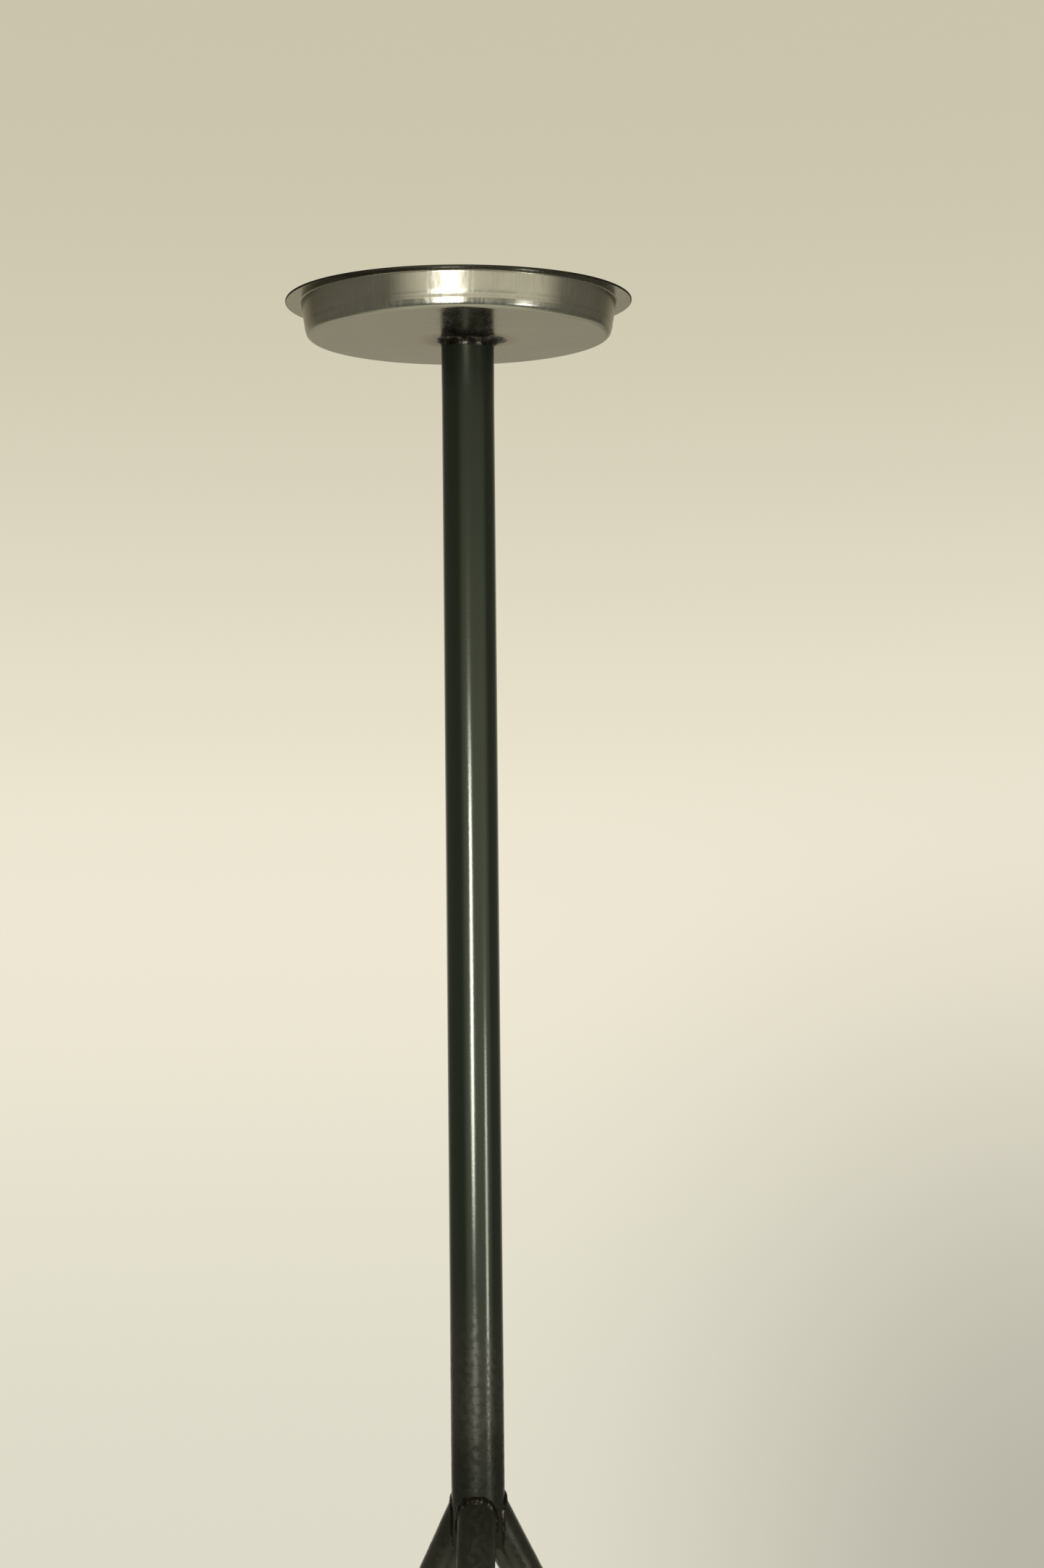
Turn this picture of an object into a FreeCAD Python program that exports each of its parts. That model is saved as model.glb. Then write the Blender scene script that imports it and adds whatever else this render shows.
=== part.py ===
import FreeCAD, Part
import os

import Sketcher

# Pillar candle holder: a thin pressed dish welded to a round tube, on three welded round legs.
# Millimetres, +Z up, z = 0 at the floor. The front leg points to -Y and the other two lean out to the
# sides and back. The origin is in the middle of the tripod's footprint, so the stem stands behind it,
# by a quarter of the radius of the circle through the feet.

DRIVING_SIZES = {
    "overall_height": 762.0,
    # Stem: 3/4 inch tube.
    "stem_diameter": 19.05,
    "stem_wall": 1.5,
    # From the dish down to the point where the legs' centre lines meet, and the tube's end below it.
    "stem_reach": 412.5,
    "stem_tail": 21.0,
    # Dish: outside sizes of the pressing. The wall leans out between its foot and its top.
    "lip_diameter": 125.2,
    "wall_top_diameter": 114.0,
    "wall_foot_diameter": 110.2,
    "dish_depth": 13.4,
    "sheet_thickness": 0.8,
    "foot_bend_radius": 2.4,
    "lip_bend_radius": 1.6,
    "dish_shift_x": -2.7,
    "dish_shift_y": -5.3,
    # Bead between the dish and the stem: heavier on one side.
    "dish_bead_height": 4.0,
    "dish_bead_reach": 3.4,
    "dish_bead_toe": 1.15,
    "dish_bead_shift": 1.0,
    # Legs: solid round bar, notched to fit the stem's side and lower end.
    "leg_diameter": 14.0,
    "leg_lean": 28.3,
    "leg_bead": 1.2,
    # Rubber ferrules on the legs' ends, cut flat where they stand.
    "ferrule_diameter": 19.0,
    "ferrule_length": 30.0,
    "ferrule_collar_diameter": 21.0,
    "ferrule_collar_length": 4.0,
    "ferrule_sole": 7.5,
}

UNDERSIDE = "(sizes.overall_height - sizes.dish_depth)"
MEETING_HEIGHT = f"({UNDERSIDE} - sizes.stem_reach)"
STEM_FOOT = f"({MEETING_HEIGHT} - sizes.stem_tail)"
STEM_RADIUS = "(sizes.stem_diameter / 2)"
STEM_BEHIND_ORIGIN = f"({MEETING_HEIGHT} * tan(sizes.leg_lean * 1 deg) / 4)"
LEG_AXIS_LENGTH = f"({MEETING_HEIGHT} / cos(sizes.leg_lean * 1 deg))"

# The direction that each leg leans in, in degrees from +X.
LEG_TURNS = {"front": 270, "right": 30, "left": 150}

# Room that cutting tools need beyond what they cut.
CLEAR = 60.0

doc = FreeCAD.newDocument("candle_holder")


def bind(thing, **expressions):
    """Bind properties to expressions. A double underscore stands for the dot in a property's path."""
    for path, expression in expressions.items():
        thing.setExpression(path.replace("__", "."), expression)


def make_sheet():
    sheet = doc.addObject("Spreadsheet::Sheet", "sizes")
    for row, (alias, value) in enumerate(DRIVING_SIZES.items(), start=1):
        sheet.set(f"A{row}", alias)
        sheet.set(f"B{row}", str(value))
        sheet.setAlias(f"B{row}", alias)
    doc.recompute()


def origin_plane(body, role):
    return next(plane for plane in body.Origin.OriginFeatures if plane.Role == role)


def sketch_on(body, role, name):
    sketch = body.newObject("Sketcher::SketchObject", name)
    sketch.AttachmentSupport = (origin_plane(body, role), [""])
    sketch.MapMode = "FlatFace"
    return sketch


def pin_vertex(sketch, line, x_expression, y_expression, start):
    """Hold the start point of a sketch line at the given distances from the sketch's origin."""
    for kind, expression, guess in (("DistanceX", x_expression, start.x), ("DistanceY", y_expression, start.y)):
        index = sketch.addConstraint(Sketcher.Constraint(kind, -1, 1, line, 1, guess))
        sketch.setExpression(f"Constraints[{index}]", expression)


def dish():
    """The pan: floor, leaning wall and flat lip of one sheet, turned about the vertical axis."""
    body = doc.addObject("PartDesign::Body", "dish")
    sketch = sketch_on(body, "XZ_Plane", "dish_profile")

    lip = "sizes.lip_diameter / 2"
    wall_top = "sizes.wall_top_diameter / 2"
    wall_foot = "sizes.wall_foot_diameter / 2"
    depth = "sizes.dish_depth"
    sheet = "sizes.sheet_thickness"
    corners = [
        ("0", "0"),
        (wall_foot, "0"),
        (wall_top, f"{depth} - {sheet}"),
        (lip, f"{depth} - {sheet}"),
        (lip, depth),
        (f"{wall_top} - {sheet}", depth),
        (f"{wall_foot} - {sheet}", sheet),
        ("0", sheet),
    ]
    guesses = [FreeCAD.Vector(evaluate(x), evaluate(y), 0) for x, y in corners]
    for start, end in zip(guesses, guesses[1:] + guesses[:1]):
        sketch.addGeometry(Part.LineSegment(start, end))
    for line in range(len(corners)):
        follower = (line + 1) % len(corners)
        sketch.addConstraint(Sketcher.Constraint("Coincident", line, 2, follower, 1))
    for line, (x, y) in enumerate(corners):
        pin_vertex(sketch, line, x, y, guesses[line])

    turned = body.newObject("PartDesign::Revolution", "dish_pressing")
    turned.Profile = sketch
    turned.ReferenceAxis = (sketch, ["V_Axis"])
    turned.Angle = 360
    doc.recompute()

    # The bends: an outer and an inner edge each, one sheet thickness apart in radius.
    bends = [
        ("foot_bend_outside", wall_foot, "0", "sizes.foot_bend_radius"),
        ("foot_bend_inside", f"{wall_foot} - {sheet}", sheet, f"sizes.foot_bend_radius - {sheet}"),
        ("lip_bend_outside", wall_top, f"{depth} - {sheet}", f"sizes.lip_bend_radius - {sheet}"),
        ("lip_bend_inside", f"{wall_top} - {sheet}", depth, "sizes.lip_bend_radius"),
    ]
    for name, radius, height, bend in bends:
        base = body.Tip
        fillet = body.newObject("PartDesign::Fillet", name)
        fillet.Base = (base, [circle_edge(base.Shape, evaluate(radius), evaluate(height))])
        bind(fillet, Radius=bend)
        doc.recompute()

    bind(
        body,
        Placement__Base__x="sizes.dish_shift_x",
        Placement__Base__y=f"{STEM_BEHIND_ORIGIN} + sizes.dish_shift_y",
        Placement__Base__z=UNDERSIDE,
    )
    return body


def evaluate(expression):
    """The number that an expression of the sheet's sizes gives."""
    value = doc.getObject("sizes").evalExpression(expression)
    return float(getattr(value, "Value", value))


def circle_edge(shape, radius, height):
    """The name of the horizontal circular edge with this radius at this height."""
    for index, edge in enumerate(shape.Edges, start=1):
        curve = edge.Curve
        if isinstance(curve, Part.Circle):
            if abs(curve.Radius - radius) < 0.01 and abs(curve.Center.z - height) < 0.01:
                return f"Edge{index}"
    raise ValueError(f"no circular edge of radius {radius} at height {height}")


def stem():
    """The upright tube, open at its lower end and closed by the dish at its upper end."""
    body = doc.addObject("PartDesign::Body", "stem")
    sketch = sketch_on(body, "XY_Plane", "stem_section")
    centre = FreeCAD.Vector(0, 0, 0)
    up = FreeCAD.Vector(0, 0, 1)
    outer_radius = evaluate(STEM_RADIUS)
    inner_radius = evaluate(f"{STEM_RADIUS} - sizes.stem_wall")
    for radius, expression in ((outer_radius, STEM_RADIUS), (inner_radius, f"{STEM_RADIUS} - sizes.stem_wall")):
        circle = sketch.addGeometry(Part.Circle(centre, up, radius))
        sketch.addConstraint(Sketcher.Constraint("Coincident", circle, 3, -1, 1))
        size = sketch.addConstraint(Sketcher.Constraint("Radius", circle, radius))
        sketch.setExpression(f"Constraints[{size}]", expression)
    tube = body.newObject("PartDesign::Pad", "stem_tube")
    tube.Profile = sketch
    bind(tube, Length="sizes.stem_reach + sizes.stem_tail")
    bind(body, Placement__Base__y=STEM_BEHIND_ORIGIN, Placement__Base__z=STEM_FOOT)
    return body


def cylinder(name, radius, length):
    shape = doc.addObject("Part::Cylinder", name)
    bind(shape, Radius=radius, Height=length)
    return shape


def boolean(kind, name, base, tool):
    """Cut, Fuse or Common of two solids."""
    result = doc.addObject(f"Part::{kind}", name)
    result.Base = base
    result.Tool = tool
    return result


def dish_weld():
    """The bead round the stem under the dish: a ring with a sloping face, thicker on the +X side."""
    bead = doc.addObject("Part::Cone", "dish_weld_bead")
    bind(
        bead,
        Radius1=f"{STEM_RADIUS} + sizes.dish_bead_toe",
        Radius2=f"{STEM_RADIUS} + sizes.dish_bead_reach",
        Height="sizes.dish_bead_height",
        Placement__Base__x="sizes.dish_bead_shift",
    )
    core = cylinder("dish_weld_core", STEM_RADIUS, "sizes.dish_bead_height")
    weld = boolean("Cut", "dish_weld", bead, core)
    bind(
        weld,
        Placement__Base__y=STEM_BEHIND_ORIGIN,
        Placement__Base__z=f"{UNDERSIDE} - sizes.dish_bead_height",
    )
    return weld


def along_leg(shape, distance):
    """Lay a cylinder on a leg's centre line, its base this far up from the floor.

    In a leg's own frame the stem's axis is Z and the leg leans out to +X.
    """
    shape.Placement.Rotation = FreeCAD.Rotation(FreeCAD.Vector(0, 1, 0), -1)
    bind(
        shape,
        Placement__Rotation__Angle="-sizes.leg_lean * 1 deg",
        Placement__Base__x=f"(({LEG_AXIS_LENGTH}) - ({distance})) * sin(sizes.leg_lean * 1 deg)",
        Placement__Base__z=f"({distance}) * cos(sizes.leg_lean * 1 deg)",
    )


def swing_round_stem(shape, turn):
    """Put a piece made in the leg's own frame at its place round the stem."""
    shape.Placement.Rotation = FreeCAD.Rotation(FreeCAD.Vector(0, 0, 1), 1)
    bind(
        shape,
        Placement__Rotation__Angle=f"{turn} deg",
        Placement__Base__y=STEM_BEHIND_ORIGIN,
    )


def stem_envelope(name):
    """The space that the stem takes, as a cutting tool in a leg's own frame."""
    envelope = cylinder(name, STEM_RADIUS, "sizes.stem_reach + sizes.stem_tail")
    bind(envelope, Placement__Base__z=STEM_FOOT)
    return envelope


def notched_bar(name):
    """A round bar along the leg's centre line, notched where the stem stands.

    The notch fits the tube's side, and its ledge carries the tube's lower end.
    """
    bar = cylinder(f"{name}_bar", "sizes.leg_diameter / 2", f"{LEG_AXIS_LENGTH} - sizes.ferrule_sole")
    along_leg(bar, "sizes.ferrule_sole")
    return boolean("Cut", name, bar, stem_envelope(f"{name}_notch"))


def leg(side, turn):
    bar = notched_bar(f"leg_{side}")
    swing_round_stem(bar, turn)
    return bar


def leg_weld(side, turn):
    """The bead round the top of a leg, in the corner between the bar and the tube."""
    name = f"leg_weld_{side}"
    sleeve = cylinder(f"{name}_sleeve", "sizes.leg_diameter / 2 + sizes.leg_bead", LEG_AXIS_LENGTH)
    along_leg(sleeve, "0")
    band = cylinder(f"{name}_band", f"{STEM_RADIUS} + sizes.leg_bead", "sizes.stem_tail * 2")
    bind(band, Placement__Base__z=STEM_FOOT)
    collar = boolean("Common", f"{name}_collar", sleeve, band)
    around_tube = boolean("Cut", f"{name}_around_tube", collar, stem_envelope(f"{name}_tube"))
    weld = boolean("Cut", name, around_tube, notched_bar(f"{name}_leg"))
    swing_round_stem(weld, turn)
    return weld


def ferrule(side, turn):
    """The rubber ferrule on a leg's end: a blind sleeve with a collar, cut level where it stands."""
    name = f"foot_{side}"
    sleeve = cylinder(f"{name}_sleeve", "sizes.ferrule_diameter / 2", f"sizes.ferrule_length + {CLEAR}")
    along_leg(sleeve, f"-{CLEAR}")
    collar = cylinder(f"{name}_collar", "sizes.ferrule_collar_diameter / 2", "sizes.ferrule_collar_length")
    along_leg(collar, "sizes.ferrule_length - sizes.ferrule_collar_length")
    outside = boolean("Fuse", f"{name}_outside", sleeve, collar)
    bore = cylinder(f"{name}_bore", "sizes.leg_diameter / 2", "sizes.ferrule_length")
    along_leg(bore, "sizes.ferrule_sole")
    blind_sleeve = boolean("Cut", f"{name}_blind_sleeve", outside, bore)
    above_floor = doc.addObject("Part::Box", f"{name}_above_floor")
    bind(
        above_floor,
        Length=LEG_AXIS_LENGTH,
        Width=f"{2 * CLEAR}",
        Height="sizes.ferrule_length * 2",
        Placement__Base__y=f"-{CLEAR}",
    )
    foot = boolean("Common", name, blind_sleeve, above_floor)
    swing_round_stem(foot, turn)
    return foot


def check_document():
    for thing in doc.Objects:
        bad_states = {"Invalid", "Error"} & set(thing.State)
        if bad_states:
            raise RuntimeError(f"{thing.Label}: {bad_states}")


def check_and_write(pieces):
    for piece in pieces:
        shape = piece.Shape
        if shape.isNull() or not shape.isValid() or len(shape.Solids) != 1:
            raise RuntimeError(f"{piece.Label}: not one valid solid")
    os.makedirs("parts", exist_ok=True)
    for piece in pieces:
        piece.Shape.exportStep(f"parts/{piece.Label}.step")
        box = piece.Shape.optimalBoundingBox(False)
        print(
            f"{piece.Label:16s} volume {piece.Shape.Volume / 1000:8.3f} cm3  "
            f"x {box.XMin:8.2f} {box.XMax:8.2f}  y {box.YMin:8.2f} {box.YMax:8.2f}  z {box.ZMin:8.2f} {box.ZMax:8.2f}"
        )


make_sheet()
pieces = [dish(), stem(), dish_weld()]
for side, turn in LEG_TURNS.items():
    pieces += [leg(side, turn), leg_weld(side, turn), ferrule(side, turn)]
doc.recompute()
check_document()
check_and_write(pieces)
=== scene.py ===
"""The looks of a welded steel pillar candle holder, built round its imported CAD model.

Everything is in metres in the CAD model's frame: +Z up, the floor at z = 0, the front leg towards -Y.
"""

import math
import random

import bpy
import numpy as np
from mathutils import Matrix, Vector, noise

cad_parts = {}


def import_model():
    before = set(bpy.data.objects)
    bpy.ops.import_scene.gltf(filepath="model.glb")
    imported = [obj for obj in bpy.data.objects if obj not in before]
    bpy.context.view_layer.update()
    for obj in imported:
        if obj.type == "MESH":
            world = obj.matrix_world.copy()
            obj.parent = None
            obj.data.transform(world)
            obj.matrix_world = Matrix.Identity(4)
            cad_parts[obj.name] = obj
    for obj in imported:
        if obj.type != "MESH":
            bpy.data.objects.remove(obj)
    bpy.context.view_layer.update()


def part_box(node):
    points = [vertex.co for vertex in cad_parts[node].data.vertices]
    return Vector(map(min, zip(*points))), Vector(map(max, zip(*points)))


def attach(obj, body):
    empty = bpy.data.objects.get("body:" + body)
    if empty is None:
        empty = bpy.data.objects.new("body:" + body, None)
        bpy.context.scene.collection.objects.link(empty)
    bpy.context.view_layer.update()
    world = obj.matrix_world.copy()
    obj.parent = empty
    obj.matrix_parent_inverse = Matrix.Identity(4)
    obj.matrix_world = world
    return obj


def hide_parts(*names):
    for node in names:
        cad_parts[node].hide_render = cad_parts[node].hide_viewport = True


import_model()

MM = 0.001
TAU = 2 * math.pi

# ---------------------------------------------------------------- places and sizes, from the frame
stem_low, stem_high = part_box("stem")
dish_low, dish_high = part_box("dish")
STEM_RADIUS = (stem_high.x - stem_low.x) / 2
STEM_AXIS = Vector(((stem_high.x + stem_low.x) / 2, (stem_high.y + stem_low.y) / 2, 0))
STEM_FOOT = stem_low.z
DISH_UNDERSIDE = dish_low.z
DISH_DEPTH = dish_high.z - dish_low.z
DISH_CENTRE = Vector(((dish_high.x + dish_low.x) / 2, (dish_high.y + dish_low.y) / 2, 0))
LIP_RADIUS = (dish_high.x - dish_low.x) / 2

# Sizes that the boxes of the nodes don't give.
STEM_WALL = 1.5 * MM
STEM_TAIL = 21 * MM
SHEET = 0.8 * MM
WALL_TOP_RADIUS = 57.0 * MM
WALL_FOOT_RADIUS = 55.1 * MM
FOOT_BEND = 2.2 * MM
FACET_LEAN = math.radians(15)
FACET_HEIGHT = 3.3 * MM
LIP_BEND = 1.6 * MM
GROOVE_HEIGHT = 4.7 * MM
GROOVE_DEPTH = 0.08 * MM
LEG_RADIUS = 7 * MM
LEG_LEAN = math.radians(28.3)
LEG_DIRECTIONS = {"front": math.radians(270), "right": math.radians(30), "left": math.radians(150)}
FERRULE_RADIUS = 9.5 * MM
FERRULE_COLLAR_RADIUS = 10.5 * MM
FERRULE_LENGTH = 30 * MM
FERRULE_COLLAR = 4 * MM
FERRULE_SOLE = 7.5 * MM

MEETING_HEIGHT = STEM_FOOT + STEM_TAIL
LEG_AXIS_LENGTH = MEETING_HEIGHT / math.cos(LEG_LEAN)


# ---------------------------------------------------------------- mesh making
def ripple(angle, waves):
    """A sum of sines round a circle. Each wave is (count, size, shift)."""
    return sum(size * np.sin(count * angle + shift) for count, size, shift in waves)


def rounded_path(corners, steps=6):
    """Points along a path of (x, y, bend radius) corners, with each bend as an arc."""
    points = []
    for index, (x, y, radius) in enumerate(corners):
        here = np.array((x, y), float)
        if radius <= 0:
            points.append(here)
            continue
        before = np.array(corners[index - 1][:2], float) - here
        after = np.array(corners[index + 1][:2], float) - here
        before /= np.linalg.norm(before)
        after /= np.linalg.norm(after)
        half = math.acos(float(np.clip(before @ after, -1, 1))) / 2
        reach = radius / math.tan(half)
        bisector = (before + after) / np.linalg.norm(before + after)
        centre = here + bisector * radius / math.sin(half)
        start = here + before * reach - centre
        end = here + after * reach - centre
        sweep = math.pi - 2 * half
        for step in range(steps + 1):
            part = step / steps
            weight_start = math.sin((1 - part) * sweep) / math.sin(sweep)
            weight_end = math.sin(part * sweep) / math.sin(sweep)
            points.append(centre + weight_start * start + weight_end * end)
    return points


def divide_long_runs(points, longest):
    """The same path with extra points, so that no run is longer than the given length."""
    out = [points[0]]
    for start, end in zip(points, points[1:]):
        pieces = max(1, math.ceil(np.linalg.norm(end - start) / longest))
        out += [start + (end - start) * step / pieces for step in range(1, pieces + 1)]
    return out


def level_ring(axis, radius, height, angles):
    """A ring of points round an upright axis. radius and height are numbers, or one number per angle."""
    x = axis.x + radius * np.cos(angles)
    y = axis.y + radius * np.sin(angles)
    return np.stack([x, y, height + np.zeros_like(angles)], axis=-1)


def rings_mesh(name, rings, joined=False, start_pole=None, end_pole=None):
    """A mesh through rings of points, all rings with the same number of points.

    joined links the last ring to the first. A pole closes an end with a fan of triangles.
    """
    rings = np.asarray(rings, float)
    count, around = rings.shape[:2]
    vertices = [tuple(point) for point in rings.reshape(-1, 3)]
    faces = []
    last = count if joined else count - 1
    for row in range(last):
        here, above = row * around, (row + 1) % count * around
        for column in range(around):
            following = (column + 1) % around
            faces.append((here + column, here + following, above + following, above + column))
    if start_pole is not None:
        vertices.append(tuple(start_pole))
        centre = len(vertices) - 1
        faces += [((column + 1) % around, column, centre) for column in range(around)]
    if end_pole is not None:
        vertices.append(tuple(end_pole))
        centre = len(vertices) - 1
        row = (count - 1) * around
        faces += [(row + column, row + (column + 1) % around, centre) for column in range(around)]
    mesh = bpy.data.meshes.new(name)
    mesh.from_pydata(vertices, [], faces)
    return mesh


def point_outwards(mesh):
    """Turn the faces outwards if the closed mesh's signed volume is negative."""
    mesh.update()
    mesh.calc_loop_triangles()
    volume = 0.0
    for triangle in mesh.loop_triangles:
        a, b, c = (mesh.vertices[index].co for index in triangle.vertices)
        volume += a.dot(b.cross(c))
    if volume < 0:
        mesh.flip_normals()


def add_piece(name, mesh, material, slot, *replaced, sharp_angle=50):
    point_outwards(mesh)
    mesh.shade_smooth()
    mesh.set_sharp_from_angle(angle=math.radians(sharp_angle))
    mesh.materials.append(material)
    piece = bpy.data.objects.new(name, mesh)
    bpy.context.scene.collection.objects.link(piece)
    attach(piece, "root")
    if replaced:
        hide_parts(*replaced)


# ---------------------------------------------------------------- shader nodes
class Nodes:
    """Short calls that add nodes to a tree. Each value is a number, a colour or another node's output."""

    def __init__(self, tree):
        self.tree = tree

    def add(self, kind, **settings):
        node = self.tree.nodes.new(f"ShaderNode{kind}")
        for name, value in settings.items():
            setattr(node, name, value)
        return node

    def link(self, value, socket):
        if isinstance(value, bpy.types.NodeSocket):
            self.tree.links.new(value, socket)
        elif socket.type == "RGBA":
            socket.default_value = (*value, 1.0)
        else:
            socket.default_value = value

    def spread(self, value, low, high, to_low=0.0, to_high=1.0, smooth=True):
        """Map the values between low and high to the values between to_low and to_high."""
        mapped = self.add("MapRange", interpolation_type="SMOOTHSTEP" if smooth else "LINEAR")
        self.link(value, mapped.inputs["Value"])
        ends = {"From Min": low, "From Max": high, "To Min": to_low, "To Max": to_high}
        for socket, number in ends.items():
            mapped.inputs[socket].default_value = number
        return mapped.outputs["Result"]

    def math(self, operation, first, second):
        calculation = self.add("Math", operation=operation)
        self.link(first, calculation.inputs[0])
        self.link(second, calculation.inputs[1])
        return calculation.outputs["Value"]

    def vector(self, operation, first, second=(0, 0, 0), result="Vector"):
        calculation = self.add("VectorMath", operation=operation)
        self.link(first, calculation.inputs[0])
        self.link(second, calculation.inputs[1])
        return calculation.outputs[result]

    def blend(self, factor, first, second):
        """A number between two numbers."""
        mixing = self.add("Mix", data_type="FLOAT")
        self.link(factor, mixing.inputs["Factor"])
        self.link(first, mixing.inputs["A"])
        self.link(second, mixing.inputs["B"])
        return mixing.outputs["Result"]

    def mix(self, factor, first, second):
        """A colour between two colours."""
        mixing = self.add("Mix", data_type="RGBA")
        self.link(factor, mixing.inputs["Factor"])
        self.link(first, mixing.inputs[6])
        self.link(second, mixing.inputs[7])
        return mixing.outputs[2]


class Finish(Nodes):
    """A Principled material, with calls for what varies it over the surface."""

    def __init__(self, name, metallic):
        self.material = bpy.data.materials.new(name)
        self.material.use_nodes = True
        super().__init__(self.material.node_tree)
        self.shader = self.tree.nodes["Principled BSDF"]
        self.set("Metallic", metallic)
        self.place = self.add("TexCoord").outputs["Object"]

    def set(self, socket, value):
        self.link(value, self.shader.inputs[socket])

    def stretched(self, scale):
        """The place on the object, scaled along each axis."""
        mapping = self.add("Mapping")
        self.link(self.place, mapping.inputs["Vector"])
        self.link(scale, mapping.inputs["Scale"])
        return mapping.outputs["Vector"]

    def noise(self, scale, detail=3.0, roughness=0.55, stretch=(1, 1, 1)):
        texture = self.add("TexNoise")
        self.link(self.stretched(stretch), texture.inputs["Vector"])
        self.link(scale, texture.inputs["Scale"])
        self.link(detail, texture.inputs["Detail"])
        self.link(roughness, texture.inputs["Roughness"])
        return texture.outputs["Fac"]

    def distance_from(self, point, axes=(1, 1, 1)):
        """The distance from a point, counting only the axes that are 1."""
        there = [coordinate * use for coordinate, use in zip(point, axes)]
        return self.vector("DISTANCE", self.stretched(axes), there, result="Value")

    def bump(self, height, distance, below=None):
        raised = self.add("Bump")
        self.link(distance, raised.inputs["Distance"])
        self.link(1.0, raised.inputs["Strength"])
        self.link(height, raised.inputs["Height"])
        if below is not None:
            self.link(below, raised.inputs["Normal"])
        return raised.outputs["Normal"]


# ---------------------------------------------------------------- materials
# The dish steel's colours. Their warm cast is partly the steel's own and partly painted reflection of the
# cream room.
SHEET_STEEL = ((0.388, 0.376, 0.312), (0.447, 0.446, 0.377))
STRAW_HEAT_TINT = (0.26, 0.19, 0.12)
BLUE_HEAT_TINT = (0.11, 0.10, 0.14)
# painted dark reflection, for the front of the lip's underside
PAINTED_DARK_REFLECTION = (0.06, 0.06, 0.05)
SHEARED_EDGE = (0.05, 0.05, 0.043)
BLACKENED = ((0.003, 0.006, 0.003), (0.006, 0.0085, 0.0045))
BURNT_BROWN = ((0.010, 0.007, 0.005), (0.023, 0.015, 0.0115))
SOOT = (0.005, 0.006, 0.004)
WELD_METAL = (0.085, 0.078, 0.064)
WELD_OXIDE = (0.015, 0.013, 0.010)
BLACK_RUBBER = (0.012, 0.012, 0.013)
DUST = (0.05, 0.046, 0.042)

LEG_JOINT = Vector((STEM_AXIS.x, STEM_AXIS.y, MEETING_HEIGHT - 4 * MM))


def dark_steel():
    """Blackened steel under a clear film, dull and brown where the welding burnt it."""
    finish = Finish("dark_steel", metallic=0.0)
    finish.set("IOR", 1.62)
    finish.set("Specular Tint", (0.93, 1.0, 0.86))
    patches = finish.noise(38, detail=4, stretch=(1, 1, 0.35))
    specks = finish.noise(420, detail=3)
    tone = finish.noise(90, stretch=(1, 1, 0.3))
    black = finish.mix(tone, *BLACKENED)
    brown = finish.mix(specks, *BURNT_BROWN)

    ragged = finish.math("MULTIPLY", finish.noise(70, detail=4), 30 * MM)
    from_legs = finish.math("ADD", finish.distance_from(LEG_JOINT), ragged)
    burnt = finish.spread(from_legs, 60 * MM, 92 * MM, 1.0, 0.0)
    sooty = finish.spread(from_legs, 26 * MM, 46 * MM, 1.0, 0.0)
    in_patches = finish.spread(patches, 0.56, 0.72, 0, 0.55)
    brown_share = finish.math("MAXIMUM", in_patches, finish.math("MULTIPLY", burnt, 0.5))
    colour = finish.mix(brown_share, black, brown)
    finish.set("Base Color", finish.mix(finish.math("MULTIPLY", sooty, 0.7), colour, SOOT))

    # The film is gone near the welds, so the steel there is duller and mirrors less.
    from_dish = finish.distance_from((0, 0, DISH_UNDERSIDE), (0, 0, 1))
    scorched = finish.spread(from_dish, 10 * MM, 26 * MM, 1.0, 0.0)
    streaks = finish.noise(160, detail=2, stretch=(1, 1, 0.06))
    film = finish.spread(streaks, 0.3, 0.7, 0.13, 0.20)
    dulled = finish.math("MULTIPLY", burnt, finish.spread(specks, 0.35, 0.65, 0.04, 0.24))
    dulled = finish.math("ADD", dulled, finish.math("MULTIPLY", scorched, 0.2))
    finish.set("Roughness", finish.math("ADD", film, dulled))
    by_the_legs = finish.spread(from_legs, 32 * MM, 50 * MM, 0.27, 0.5)
    by_the_dish = finish.spread(scorched, 0.0, 1.0, 0.5, 0.25, smooth=False)
    finish.set("Specular IOR Level", finish.math("MINIMUM", by_the_legs, by_the_dish))

    grain = finish.bump(finish.noise(1500, detail=2), 0.012 * MM)
    drawn = finish.bump(streaks, 0.02 * MM, below=grain)
    scale = finish.math("MULTIPLY", sooty, finish.noise(620, detail=4))
    finish.set("Normal", finish.bump(scale, 0.04 * MM, below=drawn))
    return finish.material


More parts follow.
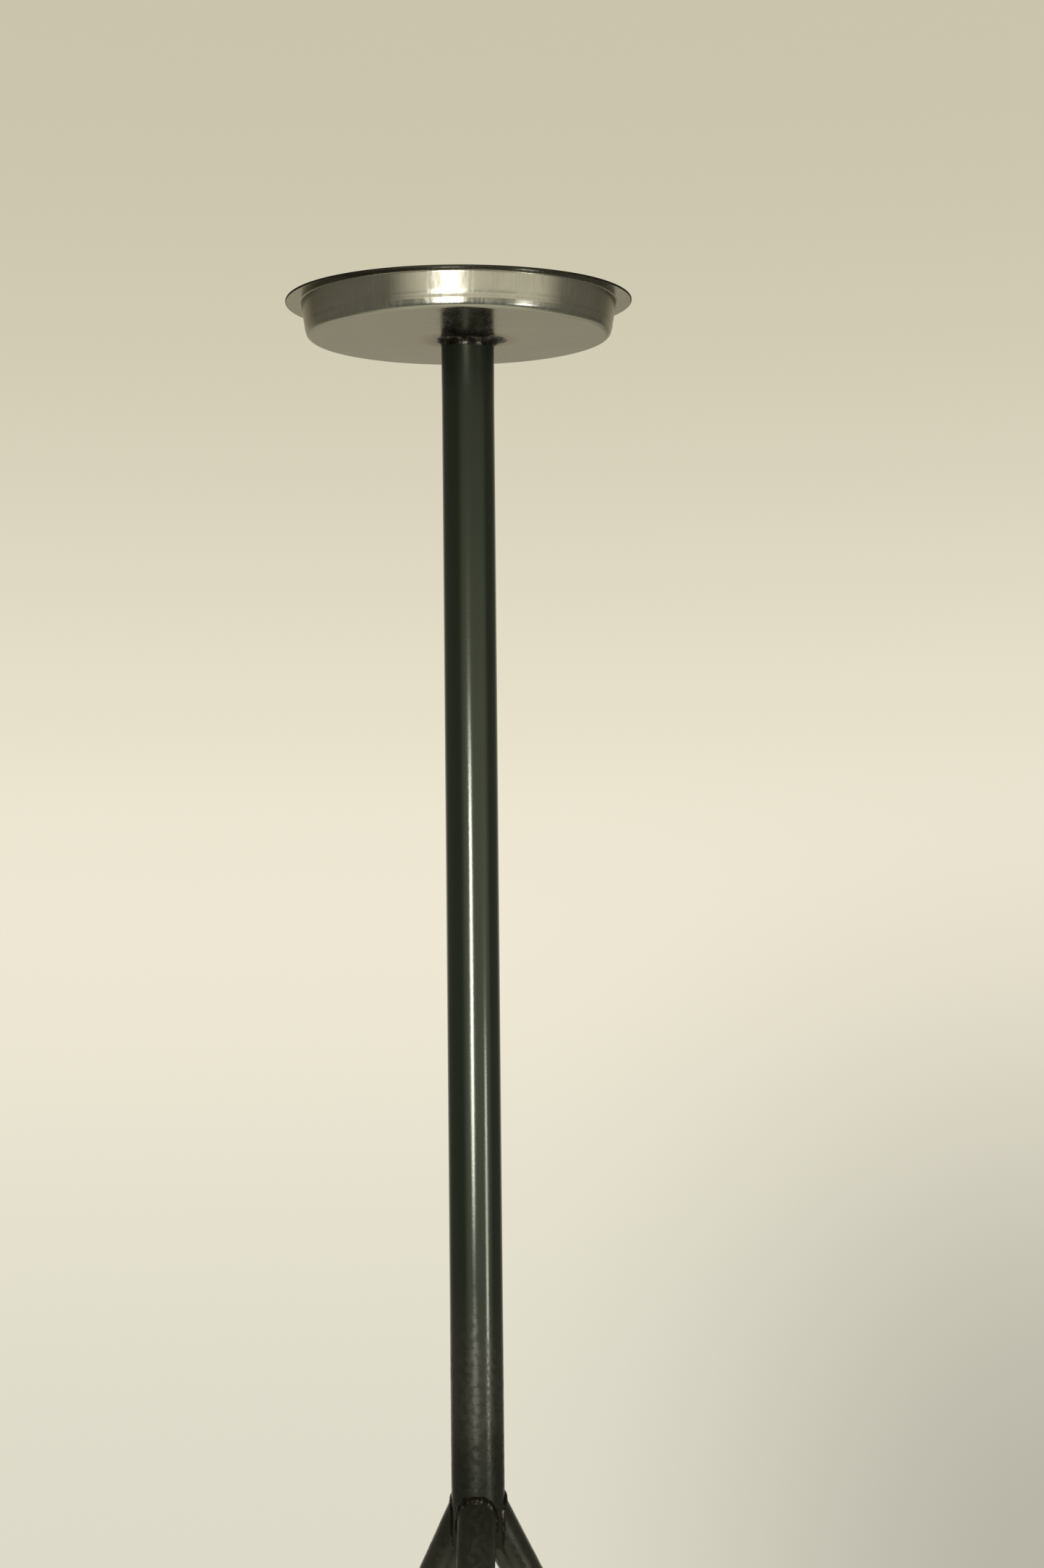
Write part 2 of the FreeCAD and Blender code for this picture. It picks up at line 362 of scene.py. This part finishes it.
def dish_steel():
    """Pressed sheet: drawing marks up the wall, a dull sheared edge, and heat colours round the stem."""
    finish = Finish("dish_steel", metallic=1.0)
    finish.set("Specular Tint", (0.55, 0.53, 0.50))
    sheet = finish.mix(finish.noise(26, detail=4), *SHEET_STEEL)
    ragged = finish.math("MULTIPLY", finish.noise(160, detail=3), 3 * MM)
    from_stem = finish.math("ADD", finish.distance_from(STEM_AXIS, (1, 1, 0)), ragged)
    straw = finish.spread(from_stem, 15 * MM, 21 * MM, 1.0, 0.0)
    blue = finish.spread(from_stem, 12.5 * MM, 16 * MM, 1.0, 0.0)
    tinted = finish.mix(finish.math("MULTIPLY", straw, 0.55), sheet, STRAW_HEAT_TINT)
    tinted = finish.mix(finish.math("MULTIPLY", blue, 0.45), tinted, BLUE_HEAT_TINT)

    # Painted dark reflection: the lip's underside is darkened in front, where it mirrors the dark room.
    from_centre = finish.distance_from(DISH_CENTRE, (1, 1, 0))
    on_lip = finish.spread(from_centre, WALL_TOP_RADIUS + 0.4 * MM, WALL_TOP_RADIUS + 0.9 * MM)
    below_top = finish.spread(finish.distance_from((0, 0, dish_high.z), (0, 0, 1)), 0.4 * MM, 0.7 * MM)
    foremost = DISH_CENTRE - Vector((0, LIP_RADIUS, 0))
    in_front = finish.spread(finish.distance_from(foremost, (0, 1, 0)), 9 * MM, 23 * MM, 1.0, 0.0)
    painted_dark_reflection = finish.math("MULTIPLY", finish.math("MULTIPLY", on_lip, below_top), in_front)
    tinted = finish.mix(painted_dark_reflection, tinted, PAINTED_DARK_REFLECTION)
    sheared = finish.spread(from_centre, LIP_RADIUS - 0.45 * MM, LIP_RADIUS - 0.3 * MM)
    finish.set("Base Color", finish.mix(sheared, tinted, SHEARED_EDGE))

    rubbed = finish.spread(finish.noise(75, detail=5, roughness=0.7), 0.25, 0.75, 0.17, 0.27)
    drawn = finish.noise(950, detail=3, roughness=0.65, stretch=(1, 1, 0.03))
    streaked = finish.math("ADD", rubbed, finish.spread(drawn, 0.42, 0.62, -0.03, 0.05))
    finish.set("Roughness", finish.math("MAXIMUM", streaked, finish.math("MULTIPLY", sheared, 0.5)))
    grain = finish.bump(drawn, 0.003 * MM)
    finish.set("Normal", finish.bump(finish.noise(60, detail=2), 0.03 * MM, below=grain))
    return finish.material


def weld_steel():
    """Weld metal: mostly dark with oxide, brighter only where it froze smooth."""
    finish = Finish("weld_steel", metallic=1.0)
    oxide = finish.spread(finish.noise(300, detail=4), 0.36, 0.56)
    finish.set("Base Color", finish.mix(oxide, WELD_METAL, WELD_OXIDE))
    finish.set("Roughness", finish.spread(oxide, 0, 1, 0.26, 0.5, smooth=False))
    finish.set("Normal", finish.bump(finish.noise(1400, detail=3), 0.04 * MM))
    return finish.material


def foot_rubber():
    """Black rubber, dusty in patches and near the floor."""
    finish = Finish("foot_rubber", metallic=0.0)
    in_patches = finish.spread(finish.noise(55, detail=5), 0.5, 0.75, 0, 0.5)
    near_floor = finish.spread(finish.distance_from((0, 0, 0), (0, 0, 1)), 0.0, 12 * MM, 0.5, 0.0)
    dusty = finish.math("MAXIMUM", in_patches, near_floor)
    finish.set("Base Color", finish.mix(dusty, BLACK_RUBBER, DUST))
    finish.set("Roughness", finish.spread(finish.noise(300, detail=3), 0.3, 0.7, 0.5, 0.68))
    finish.set("Normal", finish.bump(finish.noise(1200, detail=3), 0.05 * MM))
    return finish.material


# ---------------------------------------------------------------- the dish
def dish(material):
    """One pressed sheet: a flat floor, a leaning wall and a thin flat lip that isn't quite level."""
    wall_lean = (WALL_TOP_RADIUS - WALL_FOOT_RADIUS) / DISH_DEPTH
    facet_top = WALL_FOOT_RADIUS + FACET_HEIGHT * wall_lean
    facet_foot = facet_top - FACET_HEIGHT * math.tan(FACET_LEAN)
    outline = rounded_path(
        [
            (0, 0, 0),
            (facet_foot, 0, FOOT_BEND),
            (facet_top, FACET_HEIGHT, 3 * MM),
            (WALL_TOP_RADIUS, DISH_DEPTH - SHEET, 0.5 * MM),
            (LIP_RADIUS, DISH_DEPTH - SHEET, 0.3 * MM),
            (LIP_RADIUS, DISH_DEPTH, 0.3 * MM),
            (WALL_TOP_RADIUS - SHEET, DISH_DEPTH, LIP_BEND),
            (facet_foot - SHEET, SHEET, FOOT_BEND - SHEET),
            (0, SHEET, 0),
        ],
        steps=7,
    )
    fine_path = divide_long_runs(outline, 0.5 * MM)[1:-1]
    # The flat floor keeps only every twelfth point.
    flat_within = WALL_FOOT_RADIUS - 6 * MM
    path = [point for index, point in enumerate(fine_path) if point[0] > flat_within or index % 12 == 0]
    angles = np.linspace(0, TAU, 320, endpoint=False)
    lip_level = ripple(angles, [(2, 0.10 * MM, 0.7), (3, 0.06 * MM, 2.1), (7, 0.02 * MM, 0.4)])
    out_of_round = ripple(angles, [(2, 0.10 * MM, 1.9), (5, 0.05 * MM, 0.2), (9, 0.02 * MM, 1.1)])
    most_lip, most_round = 0.18 * MM, 0.17 * MM
    rings = []
    for radius, height in path:
        on_lip = max(0.0, (radius - WALL_FOOT_RADIUS) / (LIP_RADIUS - WALL_FOOT_RADIUS))
        off_floor = min(1.0, max(0.0, height / DISH_DEPTH))
        groove = GROOVE_DEPTH * math.exp(-(((height - GROOVE_HEIGHT) / (0.8 * MM)) ** 2))
        wall_only = radius > WALL_FOOT_RADIUS - 1.5 * MM
        real_radius = radius + (out_of_round - most_round) * off_floor - groove * wall_only
        real_height = height + (lip_level - most_lip) * on_lip**2
        rings.append(level_ring(DISH_CENTRE, real_radius, DISH_UNDERSIDE + real_height, angles))
    low_pole = (DISH_CENTRE.x, DISH_CENTRE.y, DISH_UNDERSIDE)
    high_pole = (DISH_CENTRE.x, DISH_CENTRE.y, DISH_UNDERSIDE + SHEET)
    mesh = rings_mesh("dish_pressing", rings, start_pole=low_pole, end_pole=high_pole)
    add_piece("dish_pressing", mesh, material, "dish_steel", "dish")


# ---------------------------------------------------------------- the stem
def stem(material):
    """A round tube whose lower end was sawn square and lightly deburred."""
    deburr = 0.35 * MM
    inside = STEM_RADIUS - STEM_WALL
    height = stem_high.z - stem_low.z
    outline = [
        (STEM_RADIUS - deburr, 0.0),
        (STEM_RADIUS, deburr),
        (STEM_RADIUS, height),
        (inside, height),
        (inside, deburr),
        (inside + deburr, 0.0),
    ]
    path = divide_long_runs([np.array(point) for point in outline], 12 * MM)
    angles = np.linspace(0, TAU, 160, endpoint=False)
    rings = [level_ring(STEM_AXIS, radius, STEM_FOOT + rise, angles) for radius, rise in path]
    mesh = rings_mesh("stem_tube", rings, joined=True)
    add_piece("stem_tube", mesh, material, "dark_steel", "stem", sharp_angle=35)


# ---------------------------------------------------------------- the legs
class LegFrame:
    """A leg's own axes: out from the stem, across, and up its centre line."""

    def __init__(self, direction):
        self.out = np.array((math.cos(direction), math.sin(direction), 0.0))
        self.across = np.array((-math.sin(direction), math.cos(direction), 0.0))
        self.up = np.array((0.0, 0.0, 1.0))
        self.along = math.cos(LEG_LEAN) * self.up - math.sin(LEG_LEAN) * self.out
        self.outer_side = math.cos(LEG_LEAN) * self.out + math.sin(LEG_LEAN) * self.up
        self.meeting = np.array((STEM_AXIS.x, STEM_AXIS.y, MEETING_HEIGHT))
        self.foot = self.meeting - LEG_AXIS_LENGTH * self.along

    def side(self, angle):
        """The direction from the centre line to the bar's side. Angle 0 is the outer, upper side."""
        return math.cos(angle) * self.outer_side + math.sin(angle) * self.across

    def stem_hit(self, angle):
        """How far below the meeting point a line along the bar's side reaches the stem's side."""
        sideways = LEG_RADIUS * math.sin(angle)
        outwards = math.sqrt(STEM_RADIUS**2 - sideways**2)
        return (outwards - LEG_RADIUS * math.cos(angle) * math.cos(LEG_LEAN)) / math.sin(LEG_LEAN)

    def ledge_hit(self, angle):
        """The same for the level of the stem's lower end."""
        rise = LEG_RADIUS * math.cos(angle) * math.sin(LEG_LEAN)
        return (STEM_TAIL + rise) / math.cos(LEG_LEAN)


def leg(side, direction, material):
    """A round bar, notched to fit the stem's side and to carry its lower end on a ledge."""
    axes = LegFrame(direction)
    angles = np.linspace(0, TAU, 120, endpoint=False)
    sides = np.array([axes.side(angle) for angle in angles])
    tops = np.array([min(axes.stem_hit(angle), axes.ledge_hit(angle)) for angle in angles])
    chamfer = 1 * MM
    end = axes.foot + FERRULE_SOLE * axes.along + (LEG_RADIUS - chamfer) * sides
    bottom = axes.foot + (FERRULE_SOLE + chamfer) * axes.along + LEG_RADIUS * sides
    top = axes.meeting - tops[:, None] * axes.along + LEG_RADIUS * sides
    count = math.ceil((LEG_AXIS_LENGTH - FERRULE_SOLE) / (10 * MM))
    rings = [end, bottom]
    rings += [bottom + (top - bottom) * step / count for step in range(1, count + 1)]
    notch_corner = axes.meeting + STEM_RADIUS * axes.out - STEM_TAIL * axes.up
    low_pole = axes.foot + FERRULE_SOLE * axes.along
    mesh = rings_mesh(f"leg_bar_{side}", rings, start_pole=low_pole, end_pole=notch_corner)
    add_piece(f"leg_bar_{side}", mesh, material, "dark_steel", f"leg_{side}", sharp_angle=35)


# ---------------------------------------------------------------- welds
def dish_weld(material):
    """A hollow-faced bead round the stem under the dish, run thicker on the right than on the left."""
    angles = np.linspace(0, TAU, 420, endpoint=False)
    thicker_right = (1, 1.25 * MM, TAU / 4)
    reach = 3.35 * MM + ripple(angles, [thicker_right, (3, 0.25 * MM, 0.6), (7, 0.12 * MM, 2.0)])
    drop = 3.0 * MM + ripple(angles, [(1, 0.25 * MM, 0.9), (2, 0.3 * MM, 4.4), (5, 0.22 * MM, 1.2)])
    hollow = 1.75
    unevenness = 1 + 0.6 * np.sin(2 * angles + 1)
    section = []
    for part in np.linspace(0, 1, 15):
        frozen_waves = np.sin(38 * angles + 3.0 * part**2 + 2.0 * np.sin(3 * angles))
        scallop = 0.05 * MM * math.sin(math.pi * part) * frozen_waves * unevenness
        radius = STEM_RADIUS + reach * part**hollow + scallop
        height = -drop * (1 - part) ** hollow - scallop
        section.append((radius, height))
    buried = 0.4 * MM
    section.append((STEM_RADIUS + reach - buried, buried))
    section.append((STEM_RADIUS - buried, buried))
    section.append((STEM_RADIUS - buried, -drop + buried))
    rings = [level_ring(STEM_AXIS, radius, DISH_UNDERSIDE + height, angles) for radius, height in section]
    mesh = rings_mesh("dish_weld_bead", rings, joined=True)
    add_piece("dish_weld_bead", mesh, material, "weld_steel", "dish_weld")


def on_stem(angle, height):
    """The point on the stem's side at an angle round it and a height."""
    return np.array(
        (STEM_AXIS.x + STEM_RADIUS * math.cos(angle), STEM_AXIS.y + STEM_RADIUS * math.sin(angle), height)
    )


def leg_weld(side, direction, material, seed):
    """A rippled bead along the corner between a leg's top and the stem, fading out at both ends."""
    axes = LegFrame(direction)
    last_angle = math.radians(116)
    count = 150
    stem_end = (0, MEETING_HEIGHT - STEM_TAIL)
    track = []
    for angle in np.linspace(-last_angle, last_angle, count):
        sideways = LEG_RADIUS * math.sin(angle)
        corner = axes.meeting - axes.stem_hit(angle) * axes.along + LEG_RADIUS * axes.side(angle)
        track.append((angle, direction + math.asin(sideways / STEM_RADIUS), corner))
    unrolled = np.array([(STEM_RADIUS * (turn - direction), corner[2]) for _, turn, corner in track])
    tangents = np.gradient(unrolled, axis=0)
    tangents /= np.linalg.norm(tangents, axis=1)[:, None]
    rings = []
    travelled = 0.0
    for index, (angle, turn, corner) in enumerate(track):
        if index:
            travelled += np.linalg.norm(corner - track[index - 1][2])
        fade = min(1.0, math.sin(math.pi * index / (count - 1)) * 3.2 + 0.08)
        wander = noise.noise(Vector((travelled * 260, seed * 7.3, 0)))
        wobble = noise.noise(Vector((travelled * 420, seed * 3.1, 5)))
        onto_stem = (1.1 * MM + 0.45 * MM * wander) * fade
        onto_leg = (1.9 * MM + 0.6 * MM * wobble) * fade
        across_unrolled = np.array((-tangents[index][1], tangents[index][0]))
        if across_unrolled @ (unrolled[index] - stem_end) < 0:
            across_unrolled = -across_unrolled
        step = across_unrolled * onto_stem
        toe_on_stem = on_stem(turn + step[0] / STEM_RADIUS, corner[2] + step[1])
        toe_on_leg = corner - onto_leg * axes.along
        stem_normal = np.array((math.cos(turn), math.sin(turn), 0.0))
        outward = stem_normal + axes.side(angle)
        outward /= np.linalg.norm(outward)
        ripple_height = 0.13 * MM * math.sin(travelled / (1.3 * MM) * TAU + 1.5 * wander)
        bulge = 0.85 * MM + 0.3 * MM * wander + ripple_height
        crown = (toe_on_stem + toe_on_leg) / 2 + outward * fade * bulge
        section = [
            (1 - part) ** 2 * toe_on_stem + 2 * part * (1 - part) * crown + part**2 * toe_on_leg
            for part in np.linspace(0, 1, 11)
        ]
        section.append(corner - outward * 0.7 * MM * fade)
        rings.append(section)
    mesh = rings_mesh(
        f"leg_weld_bead_{side}",
        rings,
        start_pole=np.mean(rings[0], axis=0),
        end_pole=np.mean(rings[-1], axis=0),
    )
    add_piece(f"leg_weld_bead_{side}", mesh, material, "weld_steel", f"leg_weld_{side}")


def spatter(material):
    """Beads of weld metal that froze on the stem above the legs."""
    random.seed(4)
    vertices, faces = [], []
    around, levels = 12, 5
    highest = MEETING_HEIGHT + 60 * MM
    for _ in range(16):
        height = MEETING_HEIGHT + 5 * MM + random.expovariate(1 / (10 * MM))
        turn = random.uniform(0, TAU)
        size = random.uniform(0.10, 0.26) * MM
        if height > highest:
            continue
        centre = on_stem(turn, height)
        normal = np.array((math.cos(turn), math.sin(turn), 0.0))
        across = np.array((-normal[1], normal[0], 0.0))
        up = np.array((0.0, 0.0, 1.0))
        base = len(vertices)
        for level in np.linspace(0, 0.46 * math.pi, levels):
            for column in range(around):
                spin = TAU * column / around
                flat = size * math.cos(level) * (math.cos(spin) * across + 1.15 * math.sin(spin) * up)
                lift = size * (0.75 * math.sin(level) - 0.15)
                vertices.append(tuple(centre + flat + normal * lift))
        for level in range(levels - 1):
            for column in range(around):
                a = base + level * around + column
                b = base + level * around + (column + 1) % around
                faces.append((a, b, b + around, a + around))
        top = base + (levels - 1) * around
        faces.append(tuple(top + column for column in range(around)))
        faces.append(tuple(base + column for column in reversed(range(around))))
    mesh = bpy.data.meshes.new("weld_spatter")
    mesh.from_pydata(vertices, [], faces)
    add_piece("weld_spatter", mesh, material, "weld_steel", sharp_angle=80)


# ---------------------------------------------------------------- the feet
def ferrule(side, direction, material):
    """A rubber cap with shallow ribs and a rolled collar.

    Its sole is level, with a recess inside a rim.
    """
    axes = LegFrame(direction)
    angles = np.linspace(0, TAU, 96, endpoint=False)
    sides = np.array([axes.side(angle) for angle in angles])
    # How far along the centre line each side of a cylinder of radius 1 meets the floor.
    floor_shift = -np.cos(angles) * math.tan(LEG_LEAN)

    def ring(radius, distance, level_share=0.0, rise=0.0):
        """A ring round the centre line. With level_share 1 it lies level, at the height rise."""
        shift = distance + level_share * floor_shift * radius
        points = axes.foot + shift[:, None] * axes.along + radius * sides
        points[:, 2] += rise
        return points

    recess = 0.7 * MM
    rings = [
        ring(3 * MM, 0, 1, recess),
        ring(6.2 * MM, 0, 1, recess),
        ring(6.8 * MM, 0, 1, 0.1 * MM),
        ring(7.1 * MM, 0, 1, 0),
        ring(8.8 * MM, 0, 1, 0),
        ring(FERRULE_RADIUS - 0.25 * MM, 0, 1, 0.15 * MM),
        ring(FERRULE_RADIUS, 0, 1, 0.6 * MM),
    ]
    square_from = 11 * MM
    for share in (0.66, 0.33):
        rings.append(ring(FERRULE_RADIUS, (1 - share) * square_from, share))
    rib_start, rib_pitch, rib_depth, rib_count = 12 * MM, 3.6 * MM, 0.55 * MM, 4
    for rib in range(rib_count):
        start = rib_start + rib * rib_pitch
        for along, depth in ((0, 0), (0.3, 1), (0.9, 1), (1.2, 0)):
            rings.append(ring(FERRULE_RADIUS - rib_depth * depth, start + along * MM))
    collar_start = FERRULE_LENGTH - FERRULE_COLLAR
    rolled = ((1.0, -0.6), (0.35, 0.0), (0.08, 0.35), (0.0, 1.0), (0.0, 3.0), (0.12, 3.6), (0.5, 4.0))
    for inset, distance in rolled:
        rings.append(ring(FERRULE_COLLAR_RADIUS - inset * MM, collar_start + distance * MM))
    rings.append(ring(LEG_RADIUS + 0.5 * MM, FERRULE_LENGTH))
    rings.append(ring(LEG_RADIUS, FERRULE_LENGTH - 0.5 * MM))
    rings.append(ring(LEG_RADIUS, FERRULE_SOLE))
    low_pole = axes.foot + np.array((0, 0, recess))
    high_pole = axes.foot + FERRULE_SOLE * axes.along
    mesh = rings_mesh(f"ferrule_{side}", rings, start_pole=low_pole, end_pole=high_pole)
    add_piece(f"ferrule_{side}", mesh, material, "foot_rubber", f"foot_{side}", sharp_angle=60)


# ---------------------------------------------------------------- stage, light and camera
WALL_CREAM_LOW = (0.70, 0.68, 0.57)
WALL_CREAM = (0.86, 0.81, 0.66)
WALL_CREAM_HIGH = (0.54, 0.505, 0.365)
FLOOR_CREAM = (0.67, 0.66, 0.575)
ROOM_LIGHT = (0.93, 0.91, 0.86)
SIDE_BRIGHTNESS = 0.235
SHADE = 0.35

FLOOR_RADIUS = 0.82
FLOOR_LEVEL = -0.05 * MM


def world():
    """A plain cream surround, darker low on the right.

    Reflections see it pale behind the stand, softly lit in front and dim between. The matt surfaces
    get the paler light of the room.
    """
    surround = bpy.data.worlds.new("surround")
    bpy.context.scene.world = surround
    surround.use_nodes = True
    nodes = Nodes(surround.node_tree)
    background = nodes.tree.nodes["Background"]
    direction = nodes.add("TexCoord").outputs["Generated"]
    parts = nodes.add("SeparateXYZ")
    nodes.link(direction, parts.inputs["Vector"])
    rise = parts.outputs["Z"]
    compass = nodes.vector("NORMALIZE", nodes.vector("MULTIPLY", direction, (1, 1, 0)))

    def towards(azimuth):
        """How far a direction's bearing agrees with an azimuth: the cosine of the angle between."""
        bearing = seen_from_camera(math.radians(azimuth), 1, 0) - STEM_AXIS
        return nodes.vector("DOT_PRODUCT", compass, bearing, result="Value")

    def lobe(azimuth, outside, inside, low=0.0, high=1.0):
        """low further than outside degrees from an azimuth, and high within inside degrees of it."""
        edges = math.cos(math.radians(outside)), math.cos(math.radians(inside))
        return nodes.spread(towards(azimuth), *edges, low, high)

    cream = nodes.add("ValToRGB")
    ramp = cream.color_ramp
    ramp.interpolation = "B_SPLINE"
    stops = ((0.0, WALL_CREAM_LOW), (0.3, WALL_CREAM), (0.58, WALL_CREAM), (1.0, WALL_CREAM_HIGH))
    for position, _ in stops[1:-1]:
        ramp.elements.new(position)
    for element, (position, colour) in zip(ramp.elements, stops):
        element.position = position
        element.color = (*colour, 1)
    nodes.link(nodes.spread(rise, -0.25, 0.30), cream.inputs["Fac"])

    back = lobe(180, 48, 8, SIDE_BRIGHTNESS, 1.0)
    front_height = nodes.math("MULTIPLY", nodes.spread(rise, 0.30, 0.02), nodes.spread(rise, -0.32, -0.06))
    front = nodes.math("MULTIPLY", lobe(16, 68, 38), front_height)
    to_the_right = nodes.spread(towards(90), 0.0, 0.2)
    behind = nodes.spread(towards(180), 0.2, 0.6)
    right = nodes.math("MULTIPLY", to_the_right, behind)
    low_down = nodes.math("MULTIPLY", nodes.spread(rise, 0.08, -0.24), nodes.spread(rise, -0.55, -0.3))
    shade = nodes.math("MULTIPLY", nodes.math("MULTIPLY", right, low_down), SHADE)
    shown_level = nodes.math("SUBTRACT", 1.0, shade)
    reflected_level = nodes.math("MULTIPLY", nodes.math("ADD", back, front), shown_level)

    rays = nodes.add("LightPath").outputs
    mirrored = nodes.math("MAXIMUM", rays["Is Glossy Ray"], rays["Is Transmission Ray"])
    seen = nodes.math("MAXIMUM", rays["Is Camera Ray"], mirrored)
    nodes.link(nodes.blend(mirrored, shown_level, reflected_level), background.inputs["Strength"])
    nodes.link(nodes.mix(seen, ROOM_LIGHT, cream.outputs["Color"]), background.inputs["Color"])


def floor():
    """A pale disc under the feet. It fades into the surround and isn't there from below."""
    angles = np.linspace(0, TAU, 96, endpoint=False)
    radii = np.linspace(0.1, FLOOR_RADIUS, 6)
    rings = [level_ring(Vector(), radius, FLOOR_LEVEL, angles) for radius in radii]
    mesh = rings_mesh("floor", rings, start_pole=(0, 0, FLOOR_LEVEL))
    mesh.flip_normals()

    material = bpy.data.materials.new("pale_floor")
    material.use_nodes = True
    nodes = Nodes(material.node_tree)
    shader = nodes.tree.nodes["Principled BSDF"]
    nodes.link(FLOOR_CREAM, shader.inputs["Base Color"])
    nodes.link(0.9, shader.inputs["Roughness"])
    clear = nodes.add("BsdfTransparent")
    from_middle = nodes.vector("LENGTH", nodes.add("TexCoord").outputs["Object"], result="Value")
    faded = nodes.spread(from_middle, 0.30, 0.80)
    from_below = nodes.add("NewGeometry").outputs["Backfacing"]
    blended = nodes.add("MixShader")
    nodes.link(nodes.math("MAXIMUM", faded, from_below), blended.inputs["Fac"])
    nodes.link(shader.outputs["BSDF"], blended.inputs[1])
    nodes.link(clear.outputs["BSDF"], blended.inputs[2])
    nodes.link(blended.outputs["Shader"], nodes.tree.nodes["Material Output"].inputs["Surface"])
    mesh.materials.append(material)

    disc = bpy.data.objects.new("floor", mesh)
    bpy.context.scene.collection.objects.link(disc)


CAMERA_AZIMUTH = math.radians(5)
CAMERA_DISTANCE = 1.0423
CAMERA_HEIGHT = dish_high.z - 0.2147
CAMERA_PITCH = math.radians(2.19)
CAMERA_TURN = math.radians(1.0)
CAMERA_ROLL = math.radians(0.56)
CAMERA_LENS = 66.3

LAMP_DISTANCE = 1.15
LAMP_COLOUR = (1.0, 0.99, 0.95)


def seen_from_camera(azimuth, distance, height):
    """A place round the stem, with the azimuth counted from the camera towards its right."""
    angle = CAMERA_AZIMUTH + azimuth
    return Vector(
        (STEM_AXIS.x + distance * math.sin(angle), STEM_AXIS.y - distance * math.cos(angle), height)
    )


def soft_lamp(name, azimuth, height, aim_height, size, brightness):
    """A soft rectangular lamp of (width, height) size. brightness is the radiance of its face."""
    width, tall = size
    lamp = bpy.data.lights.new(name, "AREA")
    lamp.shape = "RECTANGLE"
    lamp.size = width
    lamp.size_y = tall
    lamp.energy = brightness * math.pi * width * tall
    lamp.color = LAMP_COLOUR
    holder = bpy.data.objects.new(name, lamp)
    holder.location = seen_from_camera(math.radians(azimuth), LAMP_DISTANCE, height)
    aim = Vector((STEM_AXIS.x, STEM_AXIS.y, aim_height))
    holder.rotation_euler = (aim - holder.location).to_track_quat("-Z", "Y").to_euler()
    holder.visible_camera = False
    bpy.context.scene.collection.objects.link(holder)


def lamps():
    soft_lamp("main_lamp", -7.3, CAMERA_HEIGHT - 0.06, CAMERA_HEIGHT - 0.06, (0.21, 0.30), 28)
    soft_lamp("side_lamp", 50, CAMERA_HEIGHT - 0.25, CAMERA_HEIGHT - 0.26, (0.18, 0.27), 9)


def camera():
    data = bpy.data.cameras.new("camera")
    data.lens = CAMERA_LENS
    data.sensor_width = 36
    eye = bpy.data.objects.new("camera", data)
    eye.location = seen_from_camera(0, CAMERA_DISTANCE, CAMERA_HEIGHT)
    level = math.radians(90)
    turned = CAMERA_AZIMUTH - CAMERA_TURN
    eye.rotation_mode = "XYZ"
    pose = Matrix.Rotation(turned, 4, "Z") @ Matrix.Rotation(level + CAMERA_PITCH, 4, "X")
    pose = pose @ Matrix.Rotation(-CAMERA_ROLL, 4, "Z")
    eye.rotation_euler = pose.to_euler("XYZ")
    bpy.context.scene.collection.objects.link(eye)
    bpy.context.scene.camera = eye


# ---------------------------------------------------------------- put together
def build():
    dark, bright, weld, rubber = dark_steel(), dish_steel(), weld_steel(), foot_rubber()
    dish(bright)
    stem(dark)
    dish_weld(weld)
    for seed, (side, direction) in enumerate(LEG_DIRECTIONS.items(), start=1):
        leg(side, direction, dark)
        leg_weld(side, direction, weld, seed)
        ferrule(side, direction, rubber)
    spatter(weld)
    floor()
    world()
    lamps()
    camera()
    bpy.context.scene.view_settings.view_transform = "Standard"


build()
